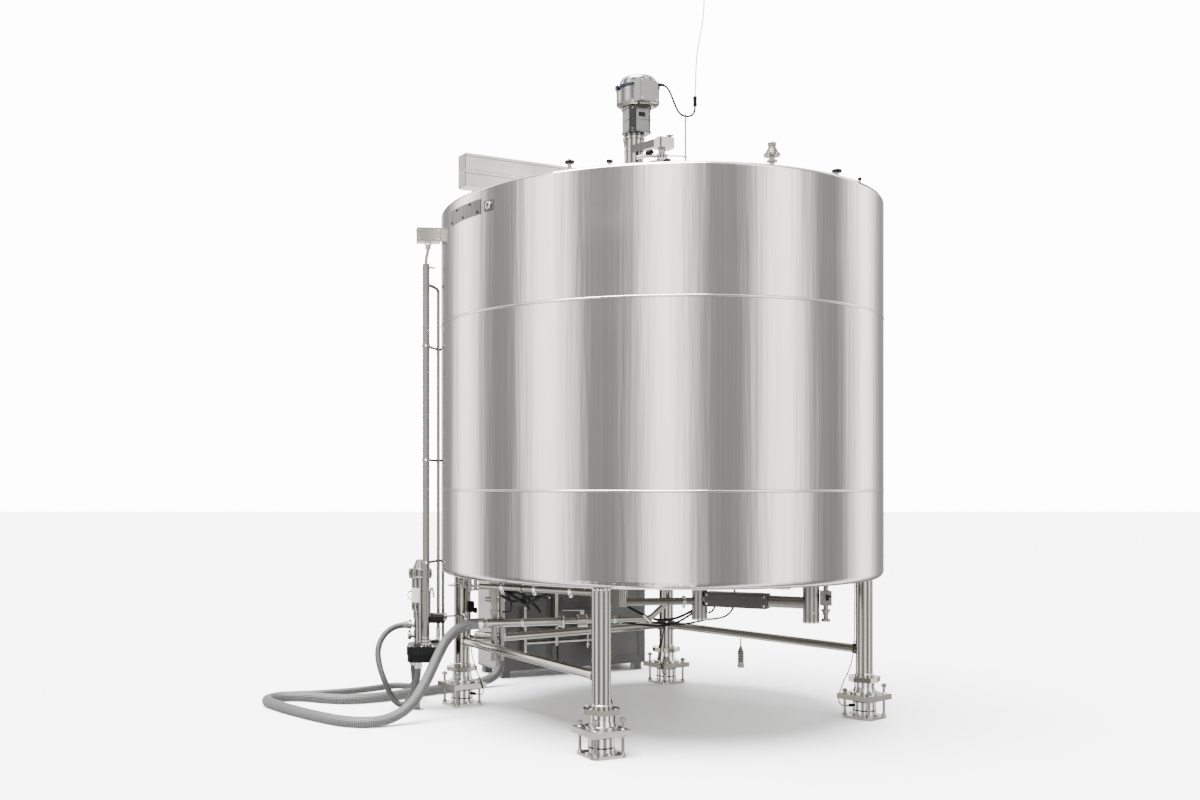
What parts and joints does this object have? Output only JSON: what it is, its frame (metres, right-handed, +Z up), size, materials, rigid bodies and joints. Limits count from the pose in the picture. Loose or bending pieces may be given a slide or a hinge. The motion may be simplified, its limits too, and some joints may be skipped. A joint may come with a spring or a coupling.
{
  "type": "bulk milk tank",
  "caption": "Round insulated stainless milk tank on legs with load-cell feet, roof agitator drive, riser pipes, seat valve, floor hoses and a service cabinet.",
  "frame": {"origin": "on the vessel's axis at floor level", "axes": "+Z up along the vessel's axis; -Y towards the front, where the riser pipes are at the left (-X)"},
  "size_m": [4.4006, 3.984, 5.123],
  "materials": {
    "steel": "satin, circumferential grain",
    "steel_dull": "dull mill finish",
    "steel_bright": "polished",
    "gear_grey": "semi-gloss",
    "motor_white": "semi-gloss",
    "black_plastic": "matt",
    "grey_plastic": "matt",
    "rubber_black": "matt",
    "hose_grey": "woven sheath",
    "cabinet_dark": "matt",
    "zinc": "zinc plated",
    "cast": "machined"
  },
  "bodies": {
    "tank": {"agitator_gearbox": "gear_grey", "agitator_pedestal": "steel", "bottom_cladding": "steel_dull", "box_conduit": "grey_plastic", "cable_rod": "steel_dull", "ceiling_fitting": "zinc", "conduit_connector": "black_plastic", "cooling_jacket": "steel_dull", "foot_base_plates": "zinc", "foot_bearing_plates": "zinc", "foot_rocker_caps": "steel_dull", "foot_studs": "zinc", "hose_block": "black_plastic", "inner_vessel": "steel_bright", "jacket_lower_strake": "steel", "jacket_middle_strake": "steel", "jacket_upper_strake": "steel", "junction_box": "grey_plastic", "leg_back": "steel", "leg_braces": "steel", "leg_front": "steel", "leg_left": "steel", "leg_right": "steel", "level_sensor_arm": "steel_bright", "load_cells": "steel_bright", "loop_hose": "hose_grey", "manway_gasket": "rubber_black", "manway_hinge": "steel", "manway_neck": "steel", "milk_hose": "hose_grey", "motor_conduit": "rubber_black", "motor_housing": "motor_white", "motor_terminal_box": "motor_white", "outlet_bend": "steel", "outlet_pipe": "steel", "outlet_valve_body": "steel", "pendant_plug": "black_plastic", "return_pipe": "steel", "riser_brackets": "steel", "riser_pipes": "steel", "roof_cladding": "steel", "roof_fittings": "steel", "service_cabinet": "cabinet_dark", "shaft_seal": "rubber_black", "supply_cable": "rubber_black", "transfer_coupling": "steel_bright", "transfer_hose": "hose_grey", "trunking_lower": "steel", "trunking_upper": "steel", "underside_pipework": "steel_dull", "valve_actuator": "steel", "valve_body": "steel"},
    "manway_lid": {"manway_cover": "steel"},
    "agitator": {"agitator_shaft": "steel", "agitator_impellers": "steel"},
    "rotor": {"motor_rotor": "cast"},
    "outlet_lever": {"outlet_valve_lever": "steel"},
    "seat_stem": {"valve_stem": "steel"},
    "door": {"cabinet_door": "cabinet_dark"},
    "latch": {"cabinet_latch": "zinc"}
  },
  "joints": [
    {"name": "manway_hinge", "type": "hinge", "parent": "tank", "child": "manway_lid", "pos_m": [0.62, 0.705, 3.712], "axis": [-1, 0, 0], "range_deg": [0, 105]},
    {"name": "rotor_spin", "type": "hinge", "parent": "tank", "child": "rotor", "pos_m": [-0.132, 0, 4.3], "axis": [0, 0, 1], "continuous": true},
    {"name": "agitator_spin", "type": "hinge", "parent": "tank", "child": "agitator", "pos_m": [-0.16, 0, 3], "axis": [0, 0, 1], "continuous": true},
    {"name": "outlet_valve", "type": "hinge", "parent": "tank", "child": "outlet_lever", "pos_m": [-0.51968, -0.00868, 0.65195], "axis": [0, 0, 1], "range_deg": [0, 90]},
    {"name": "seat_valve_lift", "type": "slide", "parent": "tank", "child": "seat_stem", "axis": [0, 0, 1], "range_m": [0, 0.025]},
    {"name": "cabinet_door_hinge", "type": "hinge", "parent": "tank", "child": "door", "pos_m": [0.17489, 2.03612, 0.6], "axis": [0, 0, 1], "range_deg": [0, 110]},
    {"name": "cabinet_latch_turn", "type": "hinge", "parent": "door", "child": "latch", "pos_m": [-0.19396, 1.86374, 0.64], "axis": [0.3987, -0.9171, 0], "range_deg": [0, 90]}
  ],
  "couplings": [
    {"joint": "agitator_spin", "follows": "rotor_spin", "ratio": 0.025}
  ]
}
